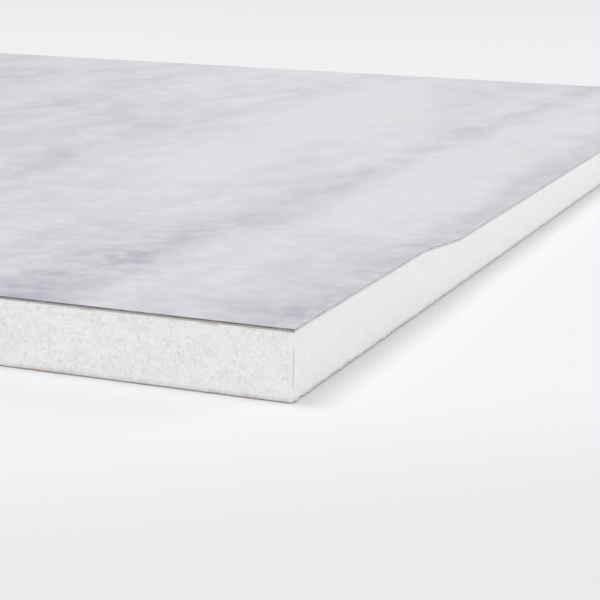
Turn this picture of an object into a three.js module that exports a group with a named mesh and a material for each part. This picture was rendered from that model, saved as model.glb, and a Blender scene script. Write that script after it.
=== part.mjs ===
// Pre-sloped shower ramp board: a bead-foam core with a waterproof membrane bonded to its top.
// Millimetres, +Z up. X is the width of the board. Y runs from the thick front edge to the back.
// The origin is the middle of the footprint, on the underside.

import * as THREE from 'three';

// Driving dimensions
const boardWidth = 1524;
const boardDepth = 1219;
const frontThickness = 38; // over all, core and membrane together
const membraneThickness = 2; // both fleece faces, the film between them and the bond
const frontBandDepth = 210; // the level thick band behind the front edge
const rampRun = 75; // how far the ramp reaches, measured level
const rampDrop = 6.5; // how much lower the board is behind the ramp

// Stations along the depth, from front to back
const frontEdge = -boardDepth / 2;
const rampTop = frontEdge + frontBandDepth;
const rampFoot = rampTop + rampRun;
const backEdge = boardDepth / 2;

// Finishes: white foam, and light grey fleece with a touch of lavender
const foamMaterial = new THREE.MeshStandardMaterial({
  name: 'white_bead_foam',
  color: 0xe9e9e7,
  roughness: 0.9,
  metalness: 0,
});
const membraneMaterial = new THREE.MeshStandardMaterial({
  name: 'grey_fleece_membrane',
  color: 0xd5d4da,
  roughness: 0.85,
  metalness: 0,
});

// The falling top line of the board, lowered by a chosen amount: level band, ramp, level field.
function topLine(lowered) {
  const high = frontThickness - lowered;
  const low = high - rampDrop;
  return [
    new THREE.Vector2(frontEdge, high),
    new THREE.Vector2(rampTop, high),
    new THREE.Vector2(rampFoot, low),
    new THREE.Vector2(backEdge, low),
  ];
}

// A section drawn in (Y, Z) and run along the whole width of the board.
function runAlongWidth(sectionPoints) {
  const geometry = new THREE.ExtrudeGeometry(new THREE.Shape(sectionPoints), {
    depth: boardWidth,
    steps: 1,
    bevelEnabled: false,
  });
  geometry.translate(0, 0, -boardWidth / 2);
  const alongX = new THREE.Matrix4().makeBasis(
    new THREE.Vector3(0, 1, 0),
    new THREE.Vector3(0, 0, 1),
    new THREE.Vector3(1, 0, 0),
  );
  return geometry.applyMatrix4(alongX);
}

// The core: a flat underside, and a top that the membrane covers.
function makeFoamCore() {
  const underside = [new THREE.Vector2(backEdge, 0), new THREE.Vector2(frontEdge, 0)];
  const section = [...topLine(membraneThickness), ...underside];
  const core = new THREE.Mesh(runAlongWidth(section), foamMaterial);
  core.name = 'foam_core';
  return core;
}

// The membrane: one even sheet that lies on the core and bends over the two creases.
function makeTopMembrane() {
  const section = [...topLine(0), ...topLine(membraneThickness).reverse()];
  const membrane = new THREE.Mesh(runAlongWidth(section), membraneMaterial);
  membrane.name = 'top_membrane';
  return membrane;
}

const board = new THREE.Group();
board.name = 'shower_ramp_board';
board.add(makeFoamCore(), makeTopMembrane());

export default board;
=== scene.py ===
import math

import bmesh
import bpy
from mathutils import Matrix, Vector, noise


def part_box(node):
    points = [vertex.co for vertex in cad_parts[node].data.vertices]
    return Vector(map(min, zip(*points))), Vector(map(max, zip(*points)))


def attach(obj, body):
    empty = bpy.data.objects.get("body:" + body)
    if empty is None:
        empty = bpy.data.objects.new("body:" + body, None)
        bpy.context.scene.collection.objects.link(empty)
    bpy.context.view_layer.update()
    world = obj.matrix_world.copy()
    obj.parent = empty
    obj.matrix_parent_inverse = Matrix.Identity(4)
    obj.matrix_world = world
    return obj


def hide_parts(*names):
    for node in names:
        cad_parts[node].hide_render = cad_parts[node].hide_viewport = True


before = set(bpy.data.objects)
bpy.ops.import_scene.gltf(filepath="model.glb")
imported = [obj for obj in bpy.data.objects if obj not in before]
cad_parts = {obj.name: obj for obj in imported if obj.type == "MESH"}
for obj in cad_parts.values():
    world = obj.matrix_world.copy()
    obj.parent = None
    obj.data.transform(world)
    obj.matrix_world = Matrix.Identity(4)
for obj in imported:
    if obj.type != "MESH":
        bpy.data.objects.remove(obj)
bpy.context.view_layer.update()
print("frame loaded with", ", ".join(sorted(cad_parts)))

mm = 0.001

near = {
    "same": 0.01 * mm,  # two places this near are one
    "crease": 0.05 * mm,  # a point this near lies on a crease
    "cut": 0.1 * mm,  # a line this near to a cut serves as the cut
    "edge": 1 * mm,  # anything this near to the outline belongs to it
}


# The board's stations from front to back, read from a solid
def stations(node):
    return sorted({round(v.co.y, 5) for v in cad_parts[node].data.vertices})


frontY, rampTopY, rampFootY, backY = stations("foam_core")
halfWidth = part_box("foam_core")[1].x
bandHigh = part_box("top_membrane")[1].z
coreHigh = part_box("foam_core")[1].z
sheetThick = bandHigh - coreHigh
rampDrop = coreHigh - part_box("top_membrane")[0].z


# How far down the ramp a place is, from 0 on the band to 1 on the field. The creases are
# eased by a share of the ramp's run.
def rampShare(y, ease):
    along = (y - rampTopY) / (rampFootY - rampTopY)
    steps = [min(max(along + shift, 0.0), 1.0) for shift in (-ease, 0.0, ease)]
    return sum(steps) / len(steps)


# A socket that can be used in sums
class Wire:
    def __init__(self, graph, socket):
        self.graph = graph
        self.socket = socket

    def join(self, operation, first, second):
        return self.graph.node("ShaderNodeMath", {"operation": operation}, {0: first, 1: second})

    def __add__(self, other):
        return self.join("ADD", self, other)

    def __radd__(self, other):
        return self.join("ADD", other, self)

    def __sub__(self, other):
        return self.join("SUBTRACT", self, other)

    def __rsub__(self, other):
        return self.join("SUBTRACT", other, self)

    def __mul__(self, other):
        return self.join("MULTIPLY", self, other)

    def __rmul__(self, other):
        return self.join("MULTIPLY", other, self)

    def __truediv__(self, other):
        return self.join("DIVIDE", self, other)

    def __rtruediv__(self, other):
        return self.join("DIVIDE", other, self)


# A node tree with one way to add a node: its type, its settings, its sockets
class Graph:
    def __init__(self, tree):
        self.tree = tree
        tree.nodes.clear()

    def feed(self, socket, value):
        if isinstance(value, Wire):
            self.tree.links.new(value.socket, socket)
        else:
            socket.default_value = value

    def node(self, kind, settings=None, sockets=None, out=0):
        made = self.tree.nodes.new(kind)
        for name, value in (settings or {}).items():
            setattr(made, name, value)
        for name, value in (sockets or {}).items():
            self.feed(made.inputs[name], value)
        return Wire(self, made.outputs[out]) if len(made.outputs) else made

    # the place on the piece
    def place(self):
        return self.node("ShaderNodeTexCoord", out="Object")

    # a place's X, Y and Z
    def parts(self, place):
        split = self.node("ShaderNodeSeparateXYZ", {}, {"Vector": place})
        return [Wire(self, part) for part in split.socket.node.outputs]

    # a place stretched along X, Y and Z: a smaller number makes a pattern longer
    def stretched(self, place, grow):
        return self.node("ShaderNodeMapping", {}, {"Vector": place, "Scale": grow})

    # a soft step from bottom to top as a value goes from low to high
    def step(self, value, low, high, bottom=0.0, top=1.0):
        ends = {"From Min": low, "From Max": high, "To Min": bottom, "To Max": top}
        kind = {"interpolation_type": "SMOOTHSTEP"}
        return self.node("ShaderNodeMapRange", kind, {"Value": value, **ends})

    # a value without its sign
    def unsigned(self, value):
        return self.node("ShaderNodeMath", {"operation": "ABSOLUTE"}, {0: value})

    # 1 at nothing, falling softly as the squared distance grows
    def bell(self, square):
        return self.node("ShaderNodeMath", {"operation": "EXPONENT"}, {0: square * -1})

    def noise(self, place, wide, detail=2.0, rough=0.5, bend=0.0):
        kind = {"Detail": detail, "Roughness": rough, "Distortion": bend}
        return self.node("ShaderNodeTexNoise", {}, {"Vector": place, "Scale": 1 / wide, **kind})

    # how far a place is from the nearest seam between beads, in beads
    def fromSeam(self, place):
        cells = {"Vector": place, "Scale": 1 / foam["bead"]}
        return self.node("ShaderNodeTexVoronoi", {"feature": "DISTANCE_TO_EDGE"}, cells)

    def blend(self, share, first, second):
        sockets = {0: share, 6: first, 7: second}
        return self.node("ShaderNodeMix", {"data_type": "RGBA"}, sockets, out=2)

    # gives a shader what varies over its surface; relief is the bump's strength and depth
    def finish(self, shader, color, roughness, height, relief):
        strength, depth = relief
        sockets = {"Strength": strength, "Distance": depth, "Height": height}
        bump = self.node("ShaderNodeBump", {}, sockets)
        for name, wire in (("Base Color", color), ("Roughness", roughness), ("Normal", bump)):
            self.feed(shader.inputs[name], wire)


# A material with a shader whose fixed values stand on its own sockets
def newMaterial(name, fixed):
    material = bpy.data.materials.new(name)
    material.use_nodes = True
    g = Graph(material.node_tree)
    surface = g.node("ShaderNodeBsdfPrincipled", {}, fixed)
    g.node("ShaderNodeOutputMaterial", {}, {"Surface": surface})
    return material, g, surface.socket.node


foam = {
    "bead": 3.3 * mm,  # width of a bead
    "seamDeep": 0.28 * mm,  # how far the seams between beads are sunk
    "seamWide": 0.2,  # where a drawn seam ends, in beads from its middle
    "sunkWide": 0.22,  # where a sunk seam ends
    "domeWide": 0.3,  # where a bead's rounding ends
    "wander": 0.16 * mm,  # how far the cut face wanders
    "wanderWide": 14 * mm,
    "rowStep": 0.85 * mm,  # rows up the side faces
    "fineStep": 0.8 * mm,  # columns beside the near corner
    "midStep": 1.8 * mm,  # columns along the rest of the right end
    "wideStep": 7 * mm,  # columns elsewhere
    "fineFront": 0.24,  # how far the fine columns reach from the near corner, along the front
    "fineSide": 0.16,  # and along the right end
    "eased": 0.25 * mm,  # the worn lower edge
    "roundTop": 0.4 * mm,  # radius of the upright corners under the membrane
    "roundLow": 1.7 * mm,  # and at the bottom
    "roundReach": 5 * mm,  # how high the lower rounding reaches
    "worn": 1.2 * mm,  # how far the lower edges of the two ends are crumbled in
    "wornReach": 3 * mm,  # how high the crumbling reaches
    "wornShare": 0.35,  # more makes more of the edge crumble
    "crumb": 4 * mm,  # length of a crumbled notch
    "endShare": 0.42,  # how strongly the beads show on the smoother ends
    "faceReach": (3 * mm, 1 * mm),  # how near to a face its own look starts and is full
    "cloud": 11 * mm,  # patches where the seams show more or less
    "pore": 0.9 * mm,  # the smallest holes
    "pit": 2.6 * mm,  # spots where a bead is torn
    "squiggle": 2.1 * mm,  # bright curls left by the cut
    "smear": 9 * mm,  # blotches in the glue
    "lowShadeReach": 3.2 * mm,  # how high the painted shade along the lower edge reaches
    "cornerShadeStart": (5 * mm, 11 * mm),  # height where the painted shade up the corner starts and is full
    "cornerShadeEnd": (30 * mm, 25 * mm),  # height where it ends, and where it is still full
    "cornerShadeReach": (1.8 * mm, 0.7 * mm),  # the same, outward from the corner
    "relief": (0.6, 0.4 * mm),
    "white": (0.91, 0.91, 0.905, 1),
    "seamWhite": (0.79, 0.79, 0.79, 1),
    # grey of the painted shade along the lower edge and up the upright corners
    "paintedShadeGrey": (0.66, 0.66, 0.675, 1),
    "glueTan": (0.74, 0.62, 0.52, 1),
    "glueReach": 1.8 * mm,  # how far the glue stains reach from the upper and the lower edge
}

# Brown glue stains on the front face, in metres from the right edge: place, half length,
# level (0 for the lower edge, 1 for the upper edge)
stains = [
    (0.026, 0.022, 1),
    (0.055, 0.014, 1),
    (0.118, 0.012, 1),
    (0.024, 0.010, 0),
    (0.052, 0.012, 0),
    (0.150, 0.022, 0),
    (0.420, 0.060, 0),
    (0.900, 0.050, 1),
]


def foamMaterial():
    material, g, shader = newMaterial("white_bead_foam", {"Specular IOR Level": 0.35})
    place = g.place()
    x, y, z = g.parts(place)
    edge = g.fromSeam(place)
    cells = {"Vector": place, "Scale": 1 / foam["bead"]}
    bead = g.node("ShaderNodeTexVoronoi", {}, cells, out="Color")
    tone = g.node("ShaderNodeSeparateColor", {}, {"Color": bead})  # each bead's own shade
    faceStart, faceFull = foam["faceReach"]
    atEnd = g.step(g.unsigned(x), halfWidth - faceStart, halfWidth - faceFull)
    shown = 1 - atEnd * (1 - foam["endShare"])
    cloud = g.noise(place, foam["cloud"], 3)
    clear = g.step(cloud, 0.38, 0.6, 0.25, 1.0)
    seam = 1 - g.step(edge, 0.0, foam["seamWide"])
    dome = g.step(edge, 0.0, foam["domeWide"])
    pore = g.step(g.noise(place, foam["pore"], 2), 0.6, 0.75)
    pit = g.step(g.noise(place, foam["pit"], 1), 0.64, 0.72)
    squiggle = g.step(g.noise(place, foam["squiggle"], 2, 0.55, 1.2), 0.57, 0.66)
    fleck = g.step(tone, 0.86, 0.94)
    dull = seam * clear * 0.28 + pore * 0.18 + pit * 0.6 + tone * 0.2 + (cloud - 0.5) * 0.6
    share = (dull - fleck * 0.4 - squiggle * 0.5) * shown + 0.04
    color = g.blend(share, foam["white"], foam["seamWhite"])

    # painted shade: the foam is painted darker toward the floor along the lower edge, in uneven
    # patches
    lowShade = g.step(z, foam["lowShadeReach"], 0.0, 0.0, 0.75) * g.step(cloud, 0.3, 0.6, 0.6, 1.0)
    # painted shade: a thin darker line painted up each upright corner
    upright = g.step(z, *foam["cornerShadeEnd"]) * g.step(z, *foam["cornerShadeStart"])
    fromCorner = halfWidth - g.unsigned(x) + backY - g.unsigned(y)
    cornerShade = upright * g.step(fromCorner, *foam["cornerShadeReach"])
    color = g.blend(lowShade + cornerShade * 0.7, color, foam["paintedShadeGrey"])

    smear = g.step(g.noise(g.stretched(place, (1, 1, 0.2)), foam["smear"], 3, 0.6), 0.38, 0.62)
    onFront = g.step(y, frontY + faceStart, frontY + faceFull)
    glue = 0.0
    for away, wide, level in stains:
        along = (halfWidth - x - away) / wide
        reach = g.unsigned(z - level * coreHigh)
        glue = glue + g.bell(along * along) * g.step(reach, foam["glueReach"], 0.0) * smear
    color = g.blend(glue * onFront, color, foam["glueTan"])

    roughness = 0.62 + seam * 0.25 + pore * 0.1
    height = dome * clear * 0.6 + tone * 0.25 + squiggle * 1.3 - pore * 0.2 - pit
    g.finish(shader, color, roughness, height * shown, foam["relief"])
    return material


# The way out of the board at a place on its outline, level
def wayOut(place):
    across = math.copysign(1, place.x) if halfWidth - abs(place.x) < near["same"] else 0
    back = math.copysign(1, place.y) if backY - abs(place.y) < near["same"] else 0
    return Vector((across, back, 0)).normalized()


# A value that is nearly at a border is put on it
def snap(value, border):
    return math.copysign(border, value) if border - abs(value) < near["edge"] else value


# Sinks the seams between the beads into the side faces, with the same cells as the material
def sinkSeams(piece):
    group = bpy.data.node_groups.new("sunk_seams", "GeometryNodeTree")
    for flow in ("INPUT", "OUTPUT"):
        group.interface.new_socket("Geometry", in_out=flow, socket_type="NodeSocketGeometry")
    g = Graph(group)
    shape = g.node("NodeGroupInput")
    place = g.node("GeometryNodeInputPosition")
    seam = 1 - g.step(g.fromSeam(place), 0.0, foam["sunkWide"])
    wander = g.noise(place, foam["wanderWide"], 2)
    deep = seam * foam["seamDeep"] + wander * foam["wander"]
    kind = {"data_type": "FLOAT_VECTOR"}
    inward = g.node("GeometryNodeInputNamedAttribute", kind, {"Name": "inward"})
    shift = g.node("ShaderNodeVectorMath", {"operation": "SCALE"}, {0: inward, "Scale": deep})
    moved = g.node("GeometryNodeSetPosition", {}, {"Geometry": shape, "Offset": shift})
    g.node("NodeGroupOutput", {}, {"Geometry": moved})
    piece.modifiers.new("sunk_seams", "NODES").node_group = group


# Bakes a piece's modifiers into its mesh
def applyModifiers(piece):
    ready = piece.evaluated_get(bpy.context.evaluated_depsgraph_get())
    mesh = bpy.data.meshes.new_from_object(ready)
    piece.modifiers.clear()
    piece.data = mesh


def newPiece(name, bm, materials):
    mesh = bpy.data.meshes.new(name)
    bm.to_mesh(mesh)
    bm.free()
    piece = bpy.data.objects.new(name, mesh)
    bpy.context.collection.objects.link(piece)
    for material in materials:
        mesh.materials.append(material)
    return piece


# Draws a ring of edges out into a new band: gives its faces, its far points and its far ring
def growRing(bm, ring):
    grown = bmesh.ops.extrude_edge_only(bm, edges=ring)["geom"]
    kinds = (bmesh.types.BMFace, bmesh.types.BMVert, bmesh.types.BMEdge)
    return [[part for part in grown if isinstance(part, kind)] for kind in kinds]


# Closes a ring of edges with one face, cut across the board at each crease from front to back
def capWithCreases(bm, ring, creases):
    cap = bmesh.ops.contextual_create(bm, geom=ring)["faces"][0]
    for y in creases:
        ends = [v for v in cap.verts if abs(v.co.y - y) < near["crease"]]
        first, second = min(ends, key=lambda v: v.co.x), max(ends, key=lambda v: v.co.x)
        halves = bmesh.utils.face_split(cap, first, second)
        cap = max((cap, halves[0]), key=lambda f: f.calc_center_bounds().y)


# Draws a point that lies in an upright corner of the foam in to the corner's round
def roundCorner(vert):
    low = max(0.0, 1 - vert.co.z / foam["roundReach"])
    radius = foam["roundTop"] + (foam["roundLow"] - foam["roundTop"]) * low * low
    overX = abs(vert.co.x) - (halfWidth - radius)
    overY = abs(vert.co.y) - (backY - radius)
    if overX > 0 and overY > 0:
        kept = min(1.0, radius / math.hypot(overX, overY))
        vert.co.x = math.copysign(halfWidth - radius + overX * kept, vert.co.x)
        vert.co.y = math.copysign(backY - radius + overY * kept, vert.co.y)


# Wears a point of the straight-sided foam and brings it under the falling top
def wearFoam(vert, out):
    if vert.co.z < near["same"]:
        vert.co -= out * foam["eased"]
    crumbled = max(0.0, noise.noise(vert.co / foam["crumb"]) + foam["wornShare"])
    low = max(0.0, 1 - vert.co.z / foam["wornReach"])
    vert.co.x -= out.x * foam["worn"] * crumbled * low
    share = vert.co.z / coreHigh
    roundCorner(vert)
    vert.co.z = share * (coreHigh - rampDrop * rampShare(vert.co.y, 0.0))


def makeFoam():
    right, left = halfWidth, -halfWidth
    # corners and stations round the outline, each with the mesh step to the next
    outline = [
        (left, frontY, foam["wideStep"]),
        (right - foam["fineFront"], frontY, foam["fineStep"]),
        (right, frontY, foam["fineStep"]),
        (right, frontY + foam["fineSide"], foam["midStep"]),
        (right, rampTopY, foam["midStep"]),
        (right, rampFootY, foam["midStep"]),
        (right, backY, foam["wideStep"]),
        (left, backY, foam["wideStep"]),
        (left, rampFootY, foam["wideStep"]),
        (left, rampTopY, foam["wideStep"]),
    ]
    bm = bmesh.new()
    corners = [bm.verts.new((x, y, 0)) for x, y, step in outline]
    sides = [bm.edges.new(pair) for pair in zip(corners, corners[1:] + corners[:1])]
    for side, (x, y, step) in zip(sides, outline):
        cuts = round(side.calc_length() / step) - 1
        bmesh.ops.bisect_edges(bm, edges=[side], cuts=cuts)
    ring = bm.edges[:]
    bmesh.ops.contextual_create(bm, geom=ring)
    straight = coreHigh - foam["eased"]
    rows = round(straight / foam["rowStep"])
    for rise in [foam["eased"]] + [straight / rows] * rows:
        risen, ring = growRing(bm, ring)[1:]
        bmesh.ops.translate(bm, verts=risen, vec=(0, 0, rise))
    capWithCreases(bm, ring, (rampTopY, rampFootY))
    bmesh.ops.recalc_face_normals(bm, faces=bm.faces)
    inward = bm.verts.layers.float_vector.new("inward")
    for vert in bm.verts:
        out = wayOut(vert.co)
        vert[inward] = -out
        wearFoam(vert, out)
    for face in bm.faces:
        face.smooth = len(face.verts) == 4
    for edge in bm.edges:
        edge.smooth = all(face.smooth for face in edge.link_faces)
    piece = newPiece("bead_foam_core", bm, [foamMaterial()])
    sinkSeams(piece)
    applyModifiers(piece)
    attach(piece, "root")
    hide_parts("foam_core")
    print("foam core made:", len(piece.data.polygons), "faces")


fleece = {
    "grid": 9 * mm,  # mesh step on the top
    "creaseReach": 2 * mm,  # how far the mesh is finer each way from a crease
    "creaseEase": 0.03,  # easing of the creases, as a share of the ramp's run
    "ripple": 0.12 * mm,  # how far the bonded sheet dips between glue lines
    "rippleWide": 70 * mm,
    "cloud": 90 * mm,  # sizes of the fleece's patterns, from wide to fine
    "warmPatch": 60 * mm,
    "soft": 26 * mm,
    "mottle": 10 * mm,
    "fibre": 2.6 * mm,
    "bend": 130 * mm,  # the streaks and marks wander over this length
    "bendAcross": 0.04,  # how far they wander across the board
    "bendAlong": 0.06,  # and along it
    "strongTo": 0.60,  # the mottle is strongest at the front and calms down up to here
    "relief": (0.35, 0.3 * mm),
    "grey": (0.685, 0.676, 0.71, 1),
    "dark": (0.395, 0.40, 0.46, 1),
    "warm": (0.68, 0.675, 0.67, 1),
    "film": (0.155, 0.14, 0.135, 1),
    "under": (0.36, 0.34, 0.325, 1),
    # paler copies of the film and lower fleece for the cut edge down the two sides: painted light
    "litSideFilm": (0.48, 0.475, 0.485, 1),
    "litSideUnder": (0.80, 0.795, 0.80, 1),
    "roundEdge": 0.3 * mm,  # rounding of the upper fleece's edge
    "filmThick": 0.8 * mm,
    "filmSunk": 0.12 * mm,  # how far the film stands back from the fleece's edge
    "filmSmear": 9 * mm,  # blotches on the film's edge
    "filmRelief": (0.3, 0.1 * mm),
    "underFibre": 3 * mm,  # fibres of the lower fleece's edge
    "underRelief": (0.4, 0.2 * mm),
}

# Long soft streaks in the fleece, in metres: distance from the right edge at the front and at
# the back, width, darkness
streaks = [
    (0.156, 0.110, 0.020, 0.42),
    (0.008, 0.014, 0.016, 0.42),
    (0.215, 0.190, 0.030, 0.14),
    (0.395, 0.370, 0.028, 0.17),
]

# Soft marks, in metres: distance from the right edge and from the front edge, half width,
# half length, darkness (below nothing for a pale one)
marks = [
    (0.156, 0.018, 0.030, 0.030, 0.60),
    (0.150, 0.100, 0.028, 0.032, 0.60),
    (0.030, 0.035, 0.030, 0.020, 0.55),
    (0.006, 0.040, 0.009, 0.025, 0.40),
    (0.450, 0.520, 0.140, 0.400, 0.20),
    (0.850, 0.950, 0.260, 0.350, 0.28),
    (0.405, 0.460, 0.025, 0.070, 0.35),
    (0.420, 0.660, 0.030, 0.050, 0.35),
    (0.560, 0.770, 0.050, 0.090, 0.50),
    (0.600, 1.030, 0.022, 0.120, 0.30),
    (0.757, 1.010, 0.050, 0.080, 0.35),
    (0.270, 0.830, 0.055, 0.170, -0.40),
    (0.250, 0.480, 0.035, 0.090, -0.20),
    (0.085, 0.450, 0.028, 0.130, -0.25),
]


def fleeceMaterial():
    fixed = {"Specular IOR Level": 0.25, "Sheen Weight": 0.06}
    material, g, shader = newMaterial("grey_fleece", fixed)
    place = g.place()
    x, y = g.parts(place)[:2]
    bent = g.noise(place, fleece["bend"], 3)
    fromRight = halfWidth - x + (bent - 0.5) * fleece["bendAcross"]
    fromFront = y - frontY + (bent - 0.5) * fleece["bendAlong"]
    lengthwise = g.stretched(place, (1, 0.4, 1))
    cloud = g.noise(lengthwise, fleece["cloud"], 4, 0.55)
    soft = g.step(g.noise(g.stretched(place, (1, 0.5, 1)), fleece["soft"], 2), 0.28, 0.72)
    mottle = g.noise(g.stretched(place, (0.75, 0.9, 1)), fleece["mottle"], 4, 0.6)
    fibre = g.noise(g.stretched(place, (1, 0.7, 1)), fleece["fibre"], 3, 0.65, 0.8)
    patch = g.step(mottle, 0.32, 0.70)
    strong = g.step(fromFront, fleece["strongTo"], 0.0)
    spread = 0.45 + soft * 0.6 + (patch - 0.5) * (strong * 0.4 + 0.15)

    dark = g.step(cloud, 0.35, 0.75) * 0.3 + strong * 0.08
    for atFront, atBack, width, strength in streaks:
        lean = (atBack - atFront) / (backY - frontY)
        across = (fromRight - atFront - fromFront * lean) / width
        dark = dark + g.bell(across * across) * strength * spread
    for away, behind, wide, long, strength in marks:
        across = (fromRight - away) / wide
        along = (fromFront - behind) / long
        dark = dark + g.bell(across * across + along * along) * strength * spread
    dark = dark + (patch - 0.35) * (strong * 0.17 + 0.07)
    dark = dark + (soft - 0.5) * 0.15 + (fibre - 0.5) * 0.4
    dark = dark / (1 + dark * 0.35)  # keeps the darkest marks from going flat

    warm = g.step(g.noise(lengthwise, fleece["warmPatch"], 2), 0.58, 0.7)
    color = g.blend(warm * 0.5, fleece["grey"], fleece["warm"])
    color = g.blend(dark, color, fleece["dark"])
    roughness = 0.85 + (fibre - 0.5) * 0.15
    g.finish(shader, color, roughness, fibre * 0.6 + mottle * 0.4, fleece["relief"])
    return material


# The cut edge of the film: dark along the front and back, painted paler down the sides as painted
# light
def filmMaterial(name, film, smeared):
    material, g, shader = newMaterial(name, {"Specular IOR Level": 0.4})
    smear = g.noise(g.stretched(g.place(), (1, 1, 3)), fleece["filmSmear"], 3, 0.6)
    color = g.blend(g.step(smear, 0.40, 0.8), film, smeared)
    g.finish(shader, color, 0.55 + smear * 0.3, smear, fleece["filmRelief"])
    return material


# The cut edge of the lower fleece
def underMaterial(name, under):
    material, g, shader = newMaterial(name, {"Specular IOR Level": 0.3})
    fibre = g.noise(g.stretched(g.place(), (1, 1, 2)), fleece["underFibre"], 3, 0.6)
    color = g.blend(fibre * 0.5, under, fleece["grey"])
    g.finish(shader, color, 0.8 + fibre * 0.15, fibre, fleece["underRelief"])
    return material


def membraneMaterials():
    return [
        fleeceMaterial(),
        filmMaterial("dark_film_edge", fleece["film"], fleece["under"]),
        underMaterial("fleece_underlayer", fleece["under"]),
        # paler copies for the cut edge down the two sides: painted light
        filmMaterial("side_film_edge_painted_light", fleece["litSideFilm"], fleece["litSideUnder"]),
        underMaterial("side_underlayer_painted_light", fleece["litSideUnder"]),
    ]


def makeMembrane():
    bm = bmesh.new()
    columns = round(2 * halfWidth / fleece["grid"])
    lines = round((backY - frontY) / fleece["grid"])
    bmesh.ops.create_grid(bm, x_segments=columns, y_segments=lines, size=1)
    bmesh.ops.scale(bm, vec=(halfWidth, backY, 1), verts=bm.verts)
    reach = fleece["creaseReach"]
    creases = [y + shift for y in (rampTopY, rampFootY) for shift in (-reach, reach)]
    for y in creases:
        cut = {"plane_co": (0, y, 0), "plane_no": (0, 1, 0), "dist": near["cut"]}
        bmesh.ops.bisect_plane(bm, geom=bm.verts[:] + bm.edges[:] + bm.faces[:], **cut)
    ring = [e for e in bm.edges if e.is_boundary]
    roundEdge = fleece["roundEdge"]
    for vert in {v: None for e in ring for v in e.verts}:
        vert.co -= wayOut(vert.co) * roundEdge
    filmLow = roundEdge + fleece["filmThick"]
    # rings down the cut edge: how far below the top, how far in, material of the band above
    rings = [
        (0.3 * roundEdge, 0.3 * roundEdge, 0),
        (roundEdge, 0.0, 0),
        (roundEdge, fleece["filmSunk"], 0),
        (filmLow, fleece["filmSunk"], 1),
        (filmLow, 0.0, 2),
        (sheetThick, 0.0, 2),
    ]
    for below, inside, slot in rings:
        faces, lowered, ring = growRing(bm, ring)
        for face in faces:
            # the film and lower fleece down the two sides take their paler copies: painted light
            atSide = halfWidth - abs(face.calc_center_median().x) < near["edge"]
            face.material_index = slot + 2 if slot and atSide else slot
        for vert in lowered:
            start = Vector((snap(vert.co.x, halfWidth), snap(vert.co.y, backY), 0))
            vert.co = start - wayOut(start) * inside - Vector((0, 0, below))
    capWithCreases(bm, ring, creases)
    for vert in bm.verts:
        vert.co.z += bandHigh - rampDrop * rampShare(vert.co.y, fleece["creaseEase"])
        if min(halfWidth - abs(vert.co.x), backY - abs(vert.co.y)) > near["edge"]:
            dip = noise.noise(vert.co / fleece["rippleWide"])
            vert.co.z -= fleece["ripple"] * (0.5 + 0.5 * dip)
    bmesh.ops.recalc_face_normals(bm, faces=bm.faces)
    for face in bm.faces:
        face.smooth = len(face.verts) == 4
    piece = newPiece("fleece_membrane", bm, membraneMaterials())
    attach(piece, "root")
    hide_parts("top_membrane")
    print("membrane made:", len(piece.data.polygons), "faces")


studio = {
    "floorReach": 60.0,
    "floorWhite": (0.84, 0.838, 0.852, 1),
    "floorShade": (0.765, 0.765, 0.77, 1),
    "shadeAcross": 0.6,  # the shade grows toward the right and the front, in these shares
    "shadeAlong": 0.75,
    "shadeReach": 0.19,  # how far in front of the near corner the floor is fully shaded
    "floorGap": 0.5 * mm,
    "fadeStart": 2.9,  # the floor fades into the sky between these distances from its middle
    "fadeEnd": 5.5,
    "black": (0.0, 0.0, 0.0, 1),
    "sky": (1.0, 1.0, 1.0, 1),
    "skyPower": 0.525,
    "lampAway": 9.0,
    "lampSize": 4.8,
}

# Soft lamps round the near corner: bearing from the front over the right, height angle, watts
lamps = {
    "left_top_lamp": (270, 70, 326),
    "front_lamp": (0, 20, 175),
    "right_back_lamp": (135, 20, 191),
    "right_lamp": (90, 45, 67),
}


def floorMaterial():
    fixed = {"Specular IOR Level": 0.2, "Roughness": 0.8, "Emission Strength": studio["skyPower"]}
    material, g, shader = newMaterial("pale_floor", fixed)
    place = g.place()
    x, y = g.parts(place)[:2]
    toward = (frontY - y) * studio["shadeAlong"] + (x - halfWidth) * studio["shadeAcross"]
    shade = g.step(toward, 0.0, studio["shadeReach"])
    paint = g.blend(shade, studio["floorWhite"], studio["floorShade"])
    away = g.node("ShaderNodeVectorMath", {"operation": "LENGTH"}, {0: place}, out="Value")
    far = g.step(away, studio["fadeStart"], studio["fadeEnd"])
    g.feed(shader.inputs["Base Color"], g.blend(far, paint, studio["black"]))
    g.feed(shader.inputs["Emission Color"], g.blend(far, studio["black"], studio["sky"]))
    return material


def makeFloor():
    bm = bmesh.new()
    bmesh.ops.create_grid(bm, x_segments=4, y_segments=4, size=studio["floorReach"])
    bmesh.ops.translate(bm, verts=bm.verts, vec=(0, 0, -studio["floorGap"]))
    floor = newPiece("studio_floor", bm, [floorMaterial()])
    print("floor laid")


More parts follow.
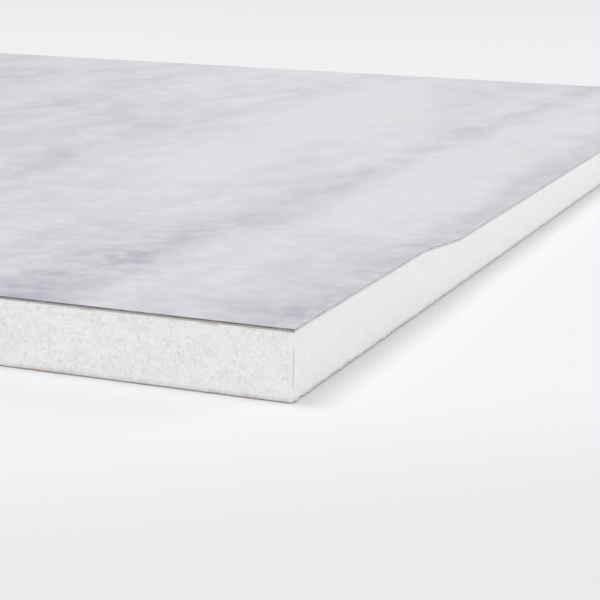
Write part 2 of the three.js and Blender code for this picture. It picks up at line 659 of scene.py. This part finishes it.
def softLamp(name, bearing, height, watts):
    lamp = bpy.data.lights.new(name, "AREA")
    lamp.shape = "DISK"
    lamp.size = studio["lampSize"]
    lamp.energy = watts
    turn, lift = math.radians(bearing), math.radians(height)
    level = Vector((math.sin(turn), -math.cos(turn), 0))
    way = level * math.cos(lift) + Vector((0, 0, math.sin(lift)))
    light = bpy.data.objects.new(name, lamp)
    light.location = Vector((halfWidth, frontY, 0)) + way * studio["lampAway"]
    light.rotation_euler = way.to_track_quat("Z", "Y").to_euler()
    light.visible_camera = False
    bpy.context.collection.objects.link(light)


def makeLights():
    world = bpy.data.worlds.new("studio_sky")
    bpy.context.scene.world = world
    world.use_nodes = True
    back = world.node_tree.nodes["Background"]
    back.inputs["Color"].default_value = studio["sky"]
    back.inputs["Strength"].default_value = studio["skyPower"]
    for name, (bearing, height, watts) in lamps.items():
        softLamp(name, bearing, height, watts)
    bpy.context.scene.view_settings.view_transform = "Standard"
    print("lights set")


# Where the camera stands, in metres from the near corner of the board, how it is turned, in
# degrees, and its lens and sensor, in millimetres
eye = {
    "beside": 0.2984,
    "before": 0.7554,
    "above": 0.2459,
    "turn": 21.39,
    "down": 13.394,
    "roll": 0.925,
    "lens": 103.13,
    "sensor": 36.0,
    "nearest": 0.05,
    "farthest": 200,
}


def makeCamera():
    lens = bpy.data.cameras.new("studio_camera")
    lens.lens = eye["lens"]
    lens.sensor_width = eye["sensor"]
    lens.sensor_fit = "HORIZONTAL"
    lens.clip_start = eye["nearest"]
    lens.clip_end = eye["farthest"]
    camera = bpy.data.objects.new("studio_camera", lens)
    at = Vector((halfWidth + eye["beside"], frontY - eye["before"], eye["above"]))
    turn = Matrix.Rotation(math.radians(eye["turn"]), 4, "Z")
    down = Matrix.Rotation(math.radians(90 - eye["down"]), 4, "X")
    roll = Matrix.Rotation(math.radians(eye["roll"]), 4, "Z")
    camera.matrix_world = Matrix.Translation(at) @ turn @ down @ roll
    bpy.context.collection.objects.link(camera)
    bpy.context.scene.camera = camera
    print("camera set")


makeCamera()
makeFloor()
makeLights()
makeFoam()
makeMembrane()
